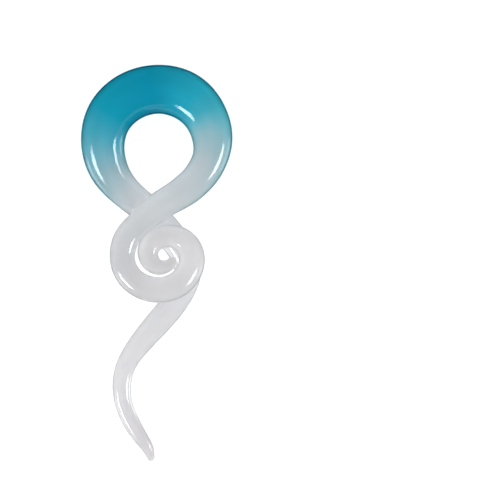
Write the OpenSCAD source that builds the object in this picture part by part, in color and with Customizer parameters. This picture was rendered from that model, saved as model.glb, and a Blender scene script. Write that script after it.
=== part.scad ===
// Spiral ear taper: one round glass rod of changing thickness.
// The rod runs from a thin tail tip up the stem, round the thick loop,
// over its own stem at the front crossing, and ends in a curl.
// Millimetres. The piece lies on its back: the curl faces up (+Z),
// the loop is at +Y and the tail points to -Y.

/* [Loop] */
// thickest diameter of the rod, at the top of the loop
rod_max_d = 8; // [7:0.1:8.4]
// radius of the loop's centre line
loop_r = 8.9; // [8.6:0.1:9.3]

/* [Depth] */
// height of the centre line on the left side of the curl
front_z = 10.4; // [10.3:0.1:12.5]
// height gained along the right side of the loop
loop_rise = 5; // [4.6:0.1:5.6]
// how far the inner turn of the curl lies behind the outer turn
curl_drop = 2.6; // [2.5:0.1:2.8]
// how much the curl leans: its rise in mm for each mm towards the tail
curl_lean = 0.15; // [0.13:0.01:0.17]

/* [Curl] */
// centre of the curl, sideways from the centre of the loop
curl_x = 1.15; // [1.05:0.05:1.2]
// centre of the curl, down from the centre of the loop
curl_y = -18; // [-18.15:0.05:-17.95]

/* [Smoothness] */
// flat sides round the rod
sides = 24; // [12:4:28]
// rings from one station of the centre line to the next
rings = 4; // [2:1:5]

/* [Hidden] */

// tail and stem, from the tip up to the loop; their back touches the floor
// x, y, rod diameter
STEM = [
    [-1.10, -51.05, 1.15],
    [-1.55, -49.70, 1.80],
    [-2.50, -48.18, 2.25],
    [-4.31, -45.30, 2.75],
    [-5.56, -42.13, 2.80],
    [-5.83, -39.10, 3.00],
    [-5.14, -36.06, 3.15],
    [-3.35, -33.13, 3.55],
    [-0.84, -30.12, 4.00],
    [ 1.84, -27.00, 4.20],
    [ 3.95, -23.88, 4.20],
    [ 4.90, -20.70, 4.35],
    [ 4.00, -17.55, 4.55],
    [ 1.95, -14.65, 4.70],
    [-0.40, -12.00, 4.80],
    [-3.06,  -9.66, 4.95],
    [-4.77,  -8.22, 5.15]
];

// the loop, clockwise from the stem on its left to its right side
// angle round its centre, distance from it as a share of loop_r, rod diameter as a share of rod_max_d,
// gap to the floor as a share of loop_rise
LOOP = [
    [210, 1.010, 0.787, 0.00],
    [180, 1.000, 0.885, 0.00],
    [150, 1.011, 0.960, 0.00],
    [120, 1.000, 0.997, 0.00],
    [ 90, 1.000, 0.998, 0.01],
    [ 60, 1.013, 0.990, 0.11],
    [ 30, 1.010, 0.898, 0.36],
    [  0, 1.006, 0.796, 0.69]
];

// right side of the loop, front crossing and start of the curl
// x, y, rod diameter, height as a share of front_z
FRONT = [
    [ 8.55,  -2.35, 5.80, 0.700],
    [ 7.55,  -4.40, 5.55, 0.760],
    [ 6.15,  -6.15, 5.30, 0.810],
    [ 4.45,  -7.60, 5.15, 0.840],
    [ 2.50,  -8.85, 4.85, 0.865],
    [ 0.60, -10.00, 4.70, 0.885],
    [-1.15, -11.40, 4.45, 0.905],
    [-2.90, -12.95, 4.20, 0.925],
    [-4.47, -14.60, 4.20, 0.950],
    [-5.28, -16.14, 4.20, 0.970],
    [-5.66, -18.10, 4.06, 1.000]
];

// the curl, from its left side round to its rounded tip
// angle round the curl's centre, distance from it, rod diameter
CURL = [
    [210, 6.70, 4.05],
    [240, 6.15, 4.10],
    [270, 5.65, 4.15],
    [300, 5.20, 4.20],
    [330, 4.75, 4.25],
    [360, 4.38, 4.15],
    [390, 3.88, 3.95],
    [420, 3.34, 3.80],
    [450, 3.00, 3.70],
    [480, 2.85, 3.62],
    [510, 2.78, 3.50],
    [540, 2.66, 3.34],
    [570, 2.47, 3.00],
    [600, 2.27, 2.60],
    [630, 2.00, 2.15],
    [660, 1.78, 1.80],
    [675, 1.70, 1.60]
];

function smooth(t) = let (c = max(0, min(1, t))) c * c * (3 - 2 * c);
function unit(v) = v / norm(v);
function xyz(p) = [p[0], p[1], p[2]];

// the loop lies on its back, and its right side lifts off towards the front crossing
function loop_station(s) = [
    loop_r * s[1] * cos(s[0]),
    loop_r * s[1] * sin(s[0]),
    rod_max_d * s[2] / 2 + loop_rise * s[3],
    rod_max_d * s[2]
];

// the curl leans, and sinks behind its own outer turn as it winds inwards
function curl_station(s) = [
    curl_x + s[1] * cos(s[0]),
    curl_y + s[1] * sin(s[0]),
    front_z - curl_lean * s[1] * sin(s[0]) - curl_drop * smooth((s[0] - 225) / 165),
    s[2]
];

// stations of the centre line: x, y, z, rod diameter
STATIONS = concat(
    [for (s = STEM) [s[0], s[1], s[2] / 2, s[2]]],
    [for (s = LOOP) loop_station(s)],
    [for (s = FRONT) [s[0], s[1], s[3] * front_z, s[2]]],
    [for (s = CURL) curl_station(s)]
);
LAST = len(STATIONS) - 1;
GAP = [for (i = [0:LAST - 1]) norm(xyz(STATIONS[i + 1]) - xyz(STATIONS[i]))];
FLAT = [0, 0, 0, 0];

// bend of the centre line at each station, for a smooth curve with free ends
// forward: weight of the next station's bend, then the part already known
function forward(i, done) = i == LAST ? done : let (
    change = (STATIONS[i + 1] - STATIONS[i]) / GAP[i] - (STATIONS[i] - STATIONS[i - 1]) / GAP[i - 1],
    pivot = 2 * (GAP[i - 1] + GAP[i]) - GAP[i - 1] * done[i - 1][0],
    known = (6 * change - GAP[i - 1] * done[i - 1][1]) / pivot
) forward(i + 1, concat(done, [[GAP[i] / pivot, known]]));
HALF_SOLVED = forward(1, [[0, FLAT]]);
function backward(i, later) = i == 0 ? later
    : backward(i - 1, concat([HALF_SOLVED[i][1] - HALF_SOLVED[i][0] * later[0]], later));
BEND = concat([FLAT], backward(LAST - 1, [FLAT]));

// point and heading on the curve, t from 0 to 1 between stations i and i + 1
function curve(i, t) = (1 - t) * STATIONS[i] + t * STATIONS[i + 1]
    + (pow(1 - t, 3) - 1 + t) * BEND[i] * pow(GAP[i], 2) / 6
    + (pow(t, 3) - t) * BEND[i + 1] * pow(GAP[i], 2) / 6;
function heading(i, t) = unit(xyz(
    (STATIONS[i + 1] - STATIONS[i]) / GAP[i]
    + (3 * t * t - 1) * BEND[i + 1] * GAP[i] / 6
    - (3 * pow(1 - t, 2) - 1) * BEND[i] * GAP[i] / 6
));

// rings along the rod: centre, heading, radius
BODY = concat(
    [for (i = [0:LAST - 1], k = [0:rings - 1])
        let (p = curve(i, k / rings)) [xyz(p), heading(i, k / rings), p[3] / 2]],
    [[xyz(STATIONS[LAST]), heading(LAST - 1, 1), STATIONS[LAST][3] / 2]]
);
// rounded end beyond ring r; side is -1 before the first ring, 1 after the last
function cap_ring(r, a, side) = [r[0] + side * r[2] * sin(a) * r[1], r[1], r[2] * cos(a)];
TAIL_RING = BODY[0];
CURL_RING = BODY[len(BODY) - 1];
RINGS = concat(
    [for (a = [72:-18:18]) cap_ring(TAIL_RING, a, -1)],
    BODY,
    [for (a = [18:18:72]) cap_ring(CURL_RING, a, 1)]
);
TAIL_TIP = TAIL_RING[0] - TAIL_RING[2] * TAIL_RING[1];
CURL_TIP = CURL_RING[0] + CURL_RING[2] * CURL_RING[1];

// points of one ring, starting at the side that looks along the floor
function ring_points(r) = let (
    across = unit(cross(r[1], [0, 0, 1])),
    above = cross(across, r[1])
) [for (k = [0:sides - 1])
    r[0] + r[2] * (cos(360 * k / sides) * across + sin(360 * k / sides) * above)];

SKIN = [for (r = RINGS) each ring_points(r)];
POINTS = concat(SKIN, [TAIL_TIP, CURL_TIP]);
TAIL_POINT = len(SKIN);
CURL_POINT = len(SKIN) + 1;
TOP_ROW = len(SKIN) - sides;
FACES = concat(
    [for (k = [0:sides - 1]) [TAIL_POINT, (k + 1) % sides, k]],
    [for (j = [0:len(RINGS) - 2], k = [0:sides - 1]) let (
        here = j * sides,
        next = (k + 1) % sides
    ) each [
        [here + k, here + sides + next, here + sides + k],
        [here + k, here + next, here + sides + next]
    ]],
    [for (k = [0:sides - 1]) [CURL_POINT, TOP_ROW + k, TOP_ROW + (k + 1) % sides]]
);

// the lowest point goes to the floor, the outline is centred over the origin
XS = [for (p = POINTS) p[0]];
YS = [for (p = POINTS) p[1]];
ZS = [for (p = POINTS) p[2]];
SHIFT = -[(min(XS) + max(XS)) / 2, (min(YS) + max(YS)) / 2, min(ZS)];

module glass_taper() {
    color([0.45, 0.72, 0.80])
    translate(SHIFT)
    polyhedron(points = POINTS, faces = FACES, convexity = 8);
}

glass_taper();
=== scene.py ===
import math
import bpy
import numpy as np
from mathutils import Matrix, Vector


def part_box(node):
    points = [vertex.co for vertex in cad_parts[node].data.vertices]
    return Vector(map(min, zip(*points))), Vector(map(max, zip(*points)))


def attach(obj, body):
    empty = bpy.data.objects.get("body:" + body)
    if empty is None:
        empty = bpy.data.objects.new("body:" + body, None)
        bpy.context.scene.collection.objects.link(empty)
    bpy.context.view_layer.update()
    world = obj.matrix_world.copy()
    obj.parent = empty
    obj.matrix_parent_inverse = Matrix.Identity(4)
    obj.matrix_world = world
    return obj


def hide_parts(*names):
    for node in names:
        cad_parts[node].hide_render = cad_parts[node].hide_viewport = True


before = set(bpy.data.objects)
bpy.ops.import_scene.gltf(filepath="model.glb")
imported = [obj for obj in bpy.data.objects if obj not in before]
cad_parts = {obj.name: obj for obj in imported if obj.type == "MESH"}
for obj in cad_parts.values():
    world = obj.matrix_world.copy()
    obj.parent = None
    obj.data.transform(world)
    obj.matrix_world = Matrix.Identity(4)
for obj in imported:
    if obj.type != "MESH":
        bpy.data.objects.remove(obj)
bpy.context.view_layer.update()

MM = 0.001
scene = bpy.context.scene

# Shape of the rod, as in the CAD model. Lengths in mm, counted from the loop's centre.
ROD_MAX_D, LOOP_R, LOOP_RISE = 8.0, 8.9, 5.0
FRONT_Z, CURL_DROP, CURL_LEAN = 10.4, 2.6, 0.15
CURL_X, CURL_Y = 1.15, -18.0
# angle round the curl's centre at which its inner turn starts to sink, and over which it does, in degrees
SINK_START, SINK_TURN = 225, 165
# x, y, rod diameter
STEM = [
    (-1.10, -51.05, 1.15), (-1.55, -49.70, 1.80), (-2.50, -48.18, 2.25), (-4.31, -45.30, 2.75),
    (-5.56, -42.13, 2.80), (-5.83, -39.10, 3.00), (-5.14, -36.06, 3.15), (-3.35, -33.13, 3.55),
    (-0.84, -30.12, 4.00), (1.84, -27.00, 4.20), (3.95, -23.88, 4.20), (4.90, -20.70, 4.35),
    (4.00, -17.55, 4.55), (1.95, -14.65, 4.70), (-0.40, -12.00, 4.80), (-3.06, -9.66, 4.95),
    (-4.77, -8.22, 5.15),
]
# angle round the loop's centre, distance from it as a share of LOOP_R, rod diameter as a share of ROD_MAX_D,
# gap to the floor as a share of LOOP_RISE
LOOP = [
    (210, 1.010, 0.787, 0), (180, 1.000, 0.885, 0), (150, 1.011, 0.960, 0), (120, 1.000, 0.997, 0),
    (90, 1.000, 0.998, 0.01), (60, 1.013, 0.990, 0.11), (30, 1.010, 0.898, 0.36), (0, 1.006, 0.796, 0.69),
]
# x, y, rod diameter, height as a share of FRONT_Z
FRONT = [
    (8.55, -2.35, 5.80, 0.700), (7.55, -4.40, 5.55, 0.760), (6.15, -6.15, 5.30, 0.810),
    (4.45, -7.60, 5.15, 0.840), (2.50, -8.85, 4.85, 0.865), (0.60, -10.00, 4.70, 0.885),
    (-1.15, -11.40, 4.45, 0.905), (-2.90, -12.95, 4.20, 0.925), (-4.47, -14.60, 4.20, 0.950),
    (-5.28, -16.14, 4.20, 0.970), (-5.66, -18.10, 4.06, 1.000),
]
# angle round the curl's centre, distance from it, rod diameter
CURL = [
    (210, 6.70, 4.05), (240, 6.15, 4.10), (270, 5.65, 4.15), (300, 5.20, 4.20),
    (330, 4.75, 4.25), (360, 4.38, 4.15), (390, 3.88, 3.95), (420, 3.34, 3.80),
    (450, 3.00, 3.70), (480, 2.85, 3.62), (510, 2.78, 3.50), (540, 2.66, 3.34),
    (570, 2.47, 3.00), (600, 2.27, 2.60), (630, 2.00, 2.15), (660, 1.78, 1.80),
    (675, 1.70, 1.60),
]


def smooth(t):
    t = min(max(t, 0.0), 1.0)
    return t * t * (3 - 2 * t)


def stations():
    """Rows of x, y, z, rod diameter in mm, from the tail tip to the curl tip."""
    rows = [(x, y, d / 2, d) for x, y, d in STEM]
    for angle, reach, thickness, lift in LOOP:
        rad, reach, d = math.radians(angle), LOOP_R * reach, ROD_MAX_D * thickness
        rows.append((reach * math.cos(rad), reach * math.sin(rad), d / 2 + LOOP_RISE * lift, d))
    rows += [(x, y, share * FRONT_Z, d) for x, y, d, share in FRONT]
    for angle, reach, d in CURL:
        rad = math.radians(angle)
        z = FRONT_Z - CURL_LEAN * reach * math.sin(rad) - CURL_DROP * smooth((angle - SINK_START) / SINK_TURN)
        rows.append((CURL_X + reach * math.cos(rad), CURL_Y + reach * math.sin(rad), z, d))
    return np.array(rows)


def smooth_curve(rows, steps):
    """Natural cubic curve through the rows: points and headings, so many steps from row to row."""
    gap = np.linalg.norm(np.diff(rows[:, :3], axis=0), axis=1)
    n = len(rows)
    a = np.eye(n)
    b = np.zeros_like(rows)
    for i in range(1, n - 1):
        a[i, i - 1:i + 2] = gap[i - 1], 2 * (gap[i - 1] + gap[i]), gap[i]
        b[i] = 6 * ((rows[i + 1] - rows[i]) / gap[i] - (rows[i] - rows[i - 1]) / gap[i - 1])
    bend = np.linalg.solve(a, b)
    points, heads = [], []
    for i in range(n - 1):
        h = gap[i]
        for k in range(steps + (i == n - 2)):
            t = k / steps
            u = 1 - t
            points.append(u * rows[i] + t * rows[i + 1]
                          + ((u ** 3 - u) * bend[i] + (t ** 3 - t) * bend[i + 1]) * h * h / 6)
            d = ((rows[i + 1] - rows[i]) / h
                 + ((3 * t * t - 1) * bend[i + 1] - (3 * u * u - 1) * bend[i]) * h / 6)[:3]
            heads.append(d / np.linalg.norm(d))
    return np.array(points), np.array(heads)


# the centre line, and at each of its points: rod radius, distance from the tail tip, and the directions
# ahead, to the right and up
POINTS, HEADS = smooth_curve(stations(), 10)
CENTRES, RADII = POINTS[:, :3], POINTS[:, 3] / 2
ALONG = np.concatenate([[0], np.cumsum(np.linalg.norm(np.diff(CENTRES, axis=0), axis=1))])
LENGTH = ALONG[-1]
ACROSS = np.cross(HEADS, [0.0, 0.0, 1.0])
ACROSS /= np.linalg.norm(ACROSS, axis=1)[:, None]
ABOVE = np.cross(ACROSS, HEADS)


def hump(height, place, width):
    """A smooth hump of this height along the rod, at this place."""
    return height * np.exp(-((ALONG - place) / width) ** 2)


def columns(table):
    """Each column of the table after the first, read off along the rod. The first is the distance in mm."""
    rows = np.array(table)
    return [np.interp(ALONG, rows[:, 0], rows[:, k]) for k in range(1, rows.shape[1])]


# how far in mm the colours run ahead on the rod's left side and on its right side
LEFT_LEAD = hump(4.5, 54.5, 4) - hump(9.0, 92, 6.5)
RIGHT_LEAD = hump(9.0, 99, 8) - hump(3.0, 52, 3.5)
# the same inside the core: a share of that, and a small lead of its own on the right side
CORE_LEAD = 0.3
LEFT_CORE_LEAD = CORE_LEAD * LEFT_LEAD
RIGHT_CORE_LEAD = CORE_LEAD * RIGHT_LEAD + hump(1.1, 60.5, 3.5)
# painted light and shade on the core: along the rod in mm, how much lighter the core is painted on its left side
# and on its right side, as a share of its brightness; below 0 it is painted darker. Sides in shade between the
# turns and limbs are painted lighter, sides lit from the floor are painted darker
LEFT_PAINTED_SHADING, RIGHT_PAINTED_SHADING = columns([
    (0, 0, 0), (46, 0, 0), (49, -0.18, 0), (52, -0.03, 0), (55.5, -0.14, 0), (58, -0.02, 0), (62, -0.14, 0),
    (67, -0.11, 0), (72, -0.03, 0), (78, -0.16, 0), (83, -0.15, 0), (86, -0.07, 0), (92, -0.05, 0),
    (97, -0.03, 0.13), (104, 0, 0.13), (108, 0, 0.10), (112, -0.03, -0.01), (116, 0.15, -0.12),
    (119, 0.12, -0.09), (125, 0.16, -0.09), (128, 0.18, -0.10), (131, 0.12, -0.12), (134, 0.02, -0.11),
    (138, 0, 0.12), (140, 0.02, 0.15), (143, 0.07, -0.18), (LENGTH, 0.08, -0.08)])
# along the rod in mm: share of the rod's radius that the coloured core fills, and how far
# its middle lies to the right of the rod's, as a share of the same radius
CORE_SHARE, CORE_SHIFT = columns([
    (0, 0.80, 0), (5, 0.70, 0), (8, 0.60, -0.08), (13, 0.60, -0.08), (16, 0.66, -0.02), (20, 0.72, 0),
    (35, 0.76, 0), (60, 0.82, 0), (75, 0.84, 0), (92, 0.82, 0), (105, 0.78, 0), (125, 0.76, 0),
    (LENGTH, 0.66, 0)])
NO_SHIFT = np.zeros(len(CENTRES))


def turns(sides):
    """Cosine and sine of each point's angle round a ring, counted from the rod's right side."""
    angles = np.arange(sides) * 2 * math.pi / sides
    return np.cos(angles), np.sin(angles)


def rod_skin(radii, sides, sideways=NO_SHIFT, trim=0):
    """Points in mm of a closed round rod with rounded ends, and for each of its rings the number of its place in
    the centre line. radii and sideways in mm, one for each place; trim leaves out so many places at each end.
    The points run from ring to ring; the tail's tip and the curl's tip come last."""
    body = [(CENTRES[i] + sideways[i] * ACROSS[i], i, radii[i]) for i in range(trim, len(CENTRES) - trim)]
    (c0, i0, r0), (c1, i1, r1) = body[0], body[-1]
    steps = [math.radians(v) for v in range(10, 90, 10)]
    start = [(c0 - HEADS[i0] * r0 * math.sin(v), i0, r0 * math.cos(v)) for v in reversed(steps)]
    end = [(c1 + HEADS[i1] * r1 * math.sin(v), i1, r1 * math.cos(v)) for v in steps]
    rings = start + body + end
    cos, sin = turns(sides)
    points = [c + r * (cos[:, None] * ACROSS[i] + sin[:, None] * ABOVE[i]) for c, i, r in rings]
    tips = [[c0 - HEADS[i0] * r0], [c1 + HEADS[i1] * r1]]
    return np.concatenate(points + tips), [i for _, i, _ in rings]


# the CAD model's box fixes where the loop's centre lies in the frame
skin, _ = rod_skin(RADII, 96)
low, high = (np.array(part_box("glass_taper")[k][:]) / MM for k in (0, 1))
middle = (low + high) / 2 - (skin.min(axis=0) + skin.max(axis=0)) / 2
SHIFT = np.array([middle[0], middle[1], low[2] - skin[:, 2].min()])


def tube(name, radii, sides, values, sideways=NO_SHIFT, trim=0):
    """The rod of rod_skin as an object. values: for each name, its number at each place of the centre line,
    and what is added to it on the rod's left side and on its right side."""
    points, places = rod_skin(radii, sides, sideways, trim)
    faces = []
    for j in range(len(places) - 1):
        for k in range(sides):
            m = (k + 1) % sides
            faces.append((j * sides + k, (j + 1) * sides + k, (j + 1) * sides + m, j * sides + m))
    tail, tip, top = len(points) - 2, len(points) - 1, (len(places) - 1) * sides
    faces += [(tail, k, (k + 1) % sides) for k in range(sides)]
    faces += [(tip, top + (k + 1) % sides, top + k) for k in range(sides)]
    mesh = bpy.data.meshes.new(name)
    mesh.from_pydata(((points + SHIFT) * MM).tolist(), [], faces)
    mesh.update()
    mesh.shade_smooth()
    cos, _ = turns(sides)
    to_left, to_right = np.maximum(-cos, 0), np.maximum(cos, 0)
    for key, (middle, left, right) in values.items():
        numbers = [middle[i] + left[i] * to_left + right[i] * to_right for i in places]
        numbers.append([middle[places[0]], middle[places[-1]]])
        layer = mesh.attributes.new(key, "FLOAT", "POINT")
        layer.data.foreach_set("value", np.concatenate(numbers).astype(np.float32))
    obj = bpy.data.objects.new(name, mesh)
    scene.collection.objects.link(obj)
    return obj


casing = tube("glass_casing", RADII, 64, {"along": (ALONG, LEFT_LEAD, RIGHT_LEAD)})
core = tube("coloured_core", RADII * CORE_SHARE, 48, {
    "along": (ALONG, LEFT_CORE_LEAD, RIGHT_CORE_LEAD),
    # painted light and shade on the core's two sides
    "painted_shading": (np.ones(len(ALONG)), LEFT_PAINTED_SHADING, RIGHT_PAINTED_SHADING),
}, sideways=RADII * CORE_SHIFT, trim=1)


def feed(tree, socket, value):
    """Set a socket to a constant, or link it to another node's output."""
    if isinstance(value, bpy.types.NodeSocket):
        tree.links.new(value, socket)
    else:
        socket.default_value = value


def add(tree, kind, inputs=None):
    """A new node of this kind. inputs: for the name or number of a socket, what feeds it."""
    node = tree.nodes.new("ShaderNode" + kind)
    for key, value in (inputs or {}).items():
        feed(tree, node.inputs[key], value)
    return node


def math_node(tree, operation, *values):
    node = add(tree, "Math", dict(enumerate(values)))
    node.operation = operation
    return node.outputs[0]


def attribute(tree, name, output):
    node = add(tree, "Attribute")
    node.attribute_name = name
    return node.outputs[output]


def map_range(tree, value, low, high, to_low=0.0, to_high=1.0, interpolation="SMOOTHSTEP"):
    node = add(tree, "MapRange", {"Value": value, "From Min": low, "From Max": high,
                                  "To Min": to_low, "To Max": to_high})
    node.interpolation_type = interpolation
    return node.outputs["Result"]


def mix_colours(tree, factor, first, second, blend="MIX"):
    node = add(tree, "Mix", {0: factor})
    node.data_type, node.blend_type = "RGBA", blend
    for socket, value in zip([socket for socket in node.inputs if socket.type == "RGBA"], (first, second)):
        feed(tree, socket, value)
    return [socket for socket in node.outputs if socket.type == "RGBA"][0]


def mix_shaders(tree, factor, first, second):
    return add(tree, "MixShader", {0: factor, 1: first.outputs[0], 2: second.outputs[0]}).outputs[0]


def ramp(tree, value, stops, interpolation="LINEAR"):
    """Colour that follows a value from 0 to 1. stops: value, linear colour."""
    node = add(tree, "ValToRGB", {0: value})
    node.color_ramp.interpolation = interpolation
    elements = node.color_ramp.elements
    while len(elements) > 1:
        elements.remove(elements[-1])
    elements[0].position, elements[0].color = stops[0][0], (*stops[0][1], 1)
    for place, colour in stops[1:]:
        elements.new(place).color = (*colour, 1)
    return node.outputs[0]


def along_rod(tree):
    """Place along the rod, from 0 at the tail's tip to 1 at the curl's tip."""
    return math_node(tree, "DIVIDE", attribute(tree, "along", "Fac"), LENGTH)


def rod_colour(tree, place, stops):
    """Colour that changes along the rod. stops: distance in mm, linear colour."""
    return ramp(tree, place, [(s / LENGTH, c) for s, c in stops])


def linear(r, g, b):
    """A display colour, 0 to 255, as the linear colour that shaders take."""
    def one(v):
        v /= 255
        return v / 12.92 if v <= 0.04045 else ((v + 0.055) / 1.055) ** 2.4
    return one(r), one(g), one(b)


def noise(tree, scale, detail):
    """Soft cloudiness, fixed to the piece. scale in clouds per metre."""
    place = add(tree, "TexCoord").outputs["Object"]
    return add(tree, "TexNoise", {"Vector": place, "Scale": scale, "Detail": detail}).outputs["Fac"]


def pass_light(tree, shader, share):
    """Let a share of the light that falls on the glass go on to what lies behind it."""
    passed = math_node(tree, "MULTIPLY", add(tree, "LightPath").outputs["Is Shadow Ray"], share)
    return mix_shaders(tree, passed, shader, add(tree, "BsdfTransparent"))


def mirror_ray(tree):
    """1 for a ray that a glossy surface sends back, 0 for one that passes through glass and all others."""
    path = add(tree, "LightPath")
    return math_node(tree, "MULTIPLY", path.outputs["Is Glossy Ray"], path.outputs["Is Reflection Ray"])


def new_material(obj, name):
    """The empty node tree of a new material on the object."""
    mat = bpy.data.materials.new(name)
    mat.use_nodes = True
    mat.node_tree.nodes.clear()
    obj.data.materials.append(mat)
    return mat.node_tree


# the core: milk glass, teal round the loop and fading to white both ways
tree = new_material(core, "core_milk_glass")
CORE_COLOURS = [
    (0, (202, 199, 203)), (10, (210, 209, 212)), (16, (213, 212, 215)), (34, (225, 225, 227)),
    (47, (223, 224, 226)), (52, (206, 212, 215)), (56, (178, 198, 204)), (62, (101, 187, 204)),
    (66, (34, 175, 197)), (74, (26, 171, 197)), (81, (58, 190, 210)), (84, (93, 194, 209)),
    (88, (177, 205, 212)), (93, (200, 208, 212)), (104, (212, 215, 217)), (116, (204, 204, 206)),
    (130, (222, 221, 223)), (140, (215, 214, 216)), (LENGTH, (193, 192, 194))]
colour = rod_colour(tree, along_rod(tree), [(s, linear(*c)) for s, c in CORE_COLOURS])
clouds = map_range(tree, noise(tree, 170, 3), 0.35, 0.65, interpolation="LINEAR")
colour = mix_colours(tree, clouds, colour, (0.955, 0.95, 0.955, 1), "MULTIPLY")
# painted light and shade: the core's colour made lighter or darker on either side of the rod
colour = mix_colours(tree, 1.0, colour, attribute(tree, "painted_shading", "Color"), "MULTIPLY")
milk = add(tree, "BsdfPrincipled", {
    "Base Color": colour,
    "Roughness": 0.5,
    "Specular IOR Level": 0.0,
    "Subsurface Weight": 1.0,
    "Subsurface Scale": 0.0055,
    "Subsurface Radius": (1.0, 1.0, 1.0),
})
add(tree, "OutputMaterial", {"Surface": pass_light(tree, milk, 0.9)})

# the casing: clear glass with a trace of teal round the loop
tree = new_material(casing, "casing_clear_glass")
CASING_COLOURS = [
    (0, (0.95, 0.95, 0.96)), (16, (0.96, 0.96, 0.97)), (50, (0.98, 0.99, 1)), (60, (0.84, 0.97, 0.99)),
    (72, (0.76, 0.96, 0.98)), (84, (0.86, 0.97, 0.98)), (98, (0.98, 0.99, 1)), (LENGTH, (1, 1, 1))]
# colours along the rod that the casing turns into towards its outline: first a wide rim of the glass's own
# deeper tint,
# then a dark line of painted shade, then a lighter hairline at the very edge. Before them, where each sets in
# and where it is full:
# 0 is seen straight on, 1 is seen along the surface. The last two are alike on the tail and on the curl
WHITE_TAIL = [(0, (0.74, 0.74, 0.75)), (49, (0.76, 0.78, 0.79))]
WHITE_CURL = [
    (110, (0.76, 0.76, 0.77)), (128, (0.76, 0.76, 0.77)), (134, (0.92, 0.92, 0.93)), (139, (0.92, 0.92, 0.93)),
    (143, (0.78, 0.78, 0.79)), (LENGTH, (0.78, 0.78, 0.79))]
OUTLINE_TINT_AND_SHADE = [
    (0.20, 0.62, [
        (0, (0.84, 0.84, 0.85)), (16, (0.88, 0.88, 0.89)), (24, (0.97, 0.97, 0.97)), (50, (0.90, 0.93, 0.94)),
        (57, (0.42, 0.70, 0.73)), (66, (0.32, 0.53, 0.58)), (80, (0.32, 0.52, 0.57)), (87, (0.38, 0.70, 0.72)),
        (97, (0.72, 0.88, 0.88)), (106, (0.95, 0.96, 0.96)), (LENGTH, (0.88, 0.88, 0.89))]),
    (0.59, 0.68, WHITE_TAIL + [
        (57, (0.22, 0.40, 0.44)), (66, (0.005, 0.05, 0.09)), (80, (0.005, 0.05, 0.09)), (90, (0.18, 0.34, 0.38)),
        (100, (0.64, 0.71, 0.73))] + WHITE_CURL),
    (0.73, 0.80, WHITE_TAIL + [
        (57, (0.15, 0.80, 0.88)), (66, (0, 0.85, 0.95)), (80, (0, 0.85, 0.95)), (90, (0.15, 0.85, 0.93)),
        (100, (0.62, 0.78, 0.81))] + WHITE_CURL),
]
place = along_rod(tree)
slant = add(tree, "LayerWeight", {"Blend": 0.5}).outputs["Facing"]
colour = rod_colour(tree, place, CASING_COLOURS)
# the glass's tint towards its outline, and a painted shade line along it
for start, end, stops in OUTLINE_TINT_AND_SHADE:
    colour = mix_colours(tree, map_range(tree, slant, start, end), colour, rod_colour(tree, place, stops))
waves = add(tree, "Bump", {"Strength": 0.5, "Distance": 0.03 * MM, "Height": noise(tree, 260, 1)})
glass = add(tree, "BsdfPrincipled", {
    "Base Color": colour,
    "Transmission Weight": 1.0,
    "Roughness": 0.02,
    "IOR": 1.48,
    "Normal": waves.outputs[0],
})
add(tree, "OutputMaterial", {"Surface": pass_light(tree, glass, 1.0)})

for obj in (casing, core):
    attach(obj, "root")
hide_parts("glass_taper")
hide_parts("glass_taper")

# what the floor and the sky show to glossy surfaces, so that the glass mirrors little but the two lights
MIRRORED = (0.01, 0.05, 0.06, 1)

# floor: a little below the piece, which lies on it
FLOOR_R, FLOOR_GAP = 0.6, 0.02 * MM
bpy.ops.mesh.primitive_circle_add(vertices=96, radius=FLOOR_R, fill_type="NGON", location=(0, 0, -FLOOR_GAP))
floor = bpy.context.object
floor.name = "floor"
tree = new_material(floor, "floor_white")
white = add(tree, "BsdfPrincipled", {
    "Base Color": (0.25, 0.25, 0.25, 1),
    "Roughness": 0.8,
    "Specular IOR Level": 0.0,
    "Emission Color": (1, 1, 1, 1),
    "Emission Strength": 0.85,
})
dim = add(tree, "Emission", {"Color": MIRRORED})
polish = add(tree, "BsdfGlossy", {"Color": (0.22, 0.22, 0.22, 1), "Roughness": 0.08})
mirrored = add(tree, "AddShader", {0: dim.outputs[0], 1: polish.outputs[0]})
add(tree, "OutputMaterial", {"Surface": mix_shaders(tree, mirror_ray(tree), white, mirrored)})

# camera: straight down over the middle of the photograph's frame
FRAME = 480
# size of a pixel, and the loop's centre in pixels from the frame's upper left corner
PIXEL = 0.1626 * MM
LOOP_PX, LOOP_PY = 157.5, 143.9
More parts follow.
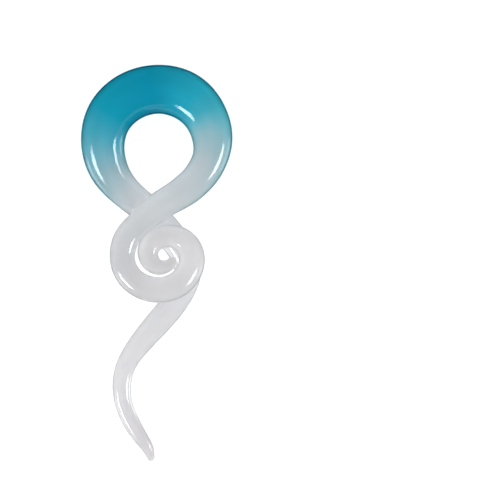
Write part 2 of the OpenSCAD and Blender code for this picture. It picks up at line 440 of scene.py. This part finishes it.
# distance from the height at which a pixel has that size, and that height
DISTANCE, HEIGHT = 1.6, 5 * MM
SENSOR = 36
cam = bpy.data.cameras.new("camera")
cam.sensor_width = SENSOR
cam.lens = SENSOR * DISTANCE / (FRAME * PIXEL)
camera = bpy.data.objects.new("camera", cam)
camera.location = ((FRAME / 2 - LOOP_PX) * PIXEL + SHIFT[0] * MM,
                   (LOOP_PY - FRAME / 2) * PIXEL + SHIFT[1] * MM,
                   DISTANCE + HEIGHT)
scene.collection.objects.link(camera)
scene.camera = camera


def softbox(name, azimuth, elevation, length, width, radiance, distance=0.5):
    """A soft box that faces the piece and shows in its gloss. Angles in degrees, azimuth from +X."""
    light = bpy.data.lights.new(name, "AREA")
    light.shape = "ELLIPSE"
    light.size, light.size_y = length, width
    area = math.pi / 4 * length * width
    light.energy = radiance * math.pi * area
    obj = bpy.data.objects.new(name, light)
    az, el = math.radians(azimuth), math.radians(elevation)
    outward = Vector((math.cos(el) * math.cos(az), math.cos(el) * math.sin(az), math.sin(el)))
    side = Vector((-math.sin(az), math.cos(az), 0))
    axes = Matrix((side, outward.cross(side), outward)).transposed()
    obj.matrix_world = Matrix.Translation(outward * distance) @ axes.to_4x4()
    obj.visible_diffuse = obj.visible_transmission = False
    scene.collection.objects.link(obj)
    # brightest in the middle, fading towards both ends
    light.use_nodes = True
    tree = light.node_tree
    place = add(tree, "SeparateXYZ", {0: add(tree, "NewGeometry").outputs["Parametric"]}).outputs["X"]
    from_middle = math_node(tree, "ABSOLUTE", math_node(tree, "SUBTRACT", place, 0.5))
    feed(tree, tree.nodes["Emission"].inputs["Strength"], map_range(tree, from_middle, 0.18, 0.5, 1.0, 0.0))


softbox("left_box", azimuth=212, elevation=24, length=0.42, width=0.175, radiance=15.0)
softbox("right_box", azimuth=-5.5, elevation=22, length=0.33, width=0.165, radiance=14.0)

# sky: even white light
world = bpy.data.worlds.new("studio")
scene.world = world
world.use_nodes = True
tree = world.node_tree
height = add(tree, "SeparateXYZ", {0: add(tree, "TexCoord").outputs["Generated"]}).outputs["Z"]
sky = tree.nodes["Background"]
feed(tree, sky.inputs["Color"], ramp(tree, height, [(0, (0.9, 0.9, 0.9)), (1, (1, 1, 1))], "EASE"))
feed(tree, sky.inputs["Strength"], 1.0)
dim = add(tree, "Background", {"Color": MIRRORED})
feed(tree, tree.nodes["World Output"].inputs["Surface"], mix_shaders(tree, mirror_ray(tree), sky, dim))
scene.view_settings.view_transform = "Standard"
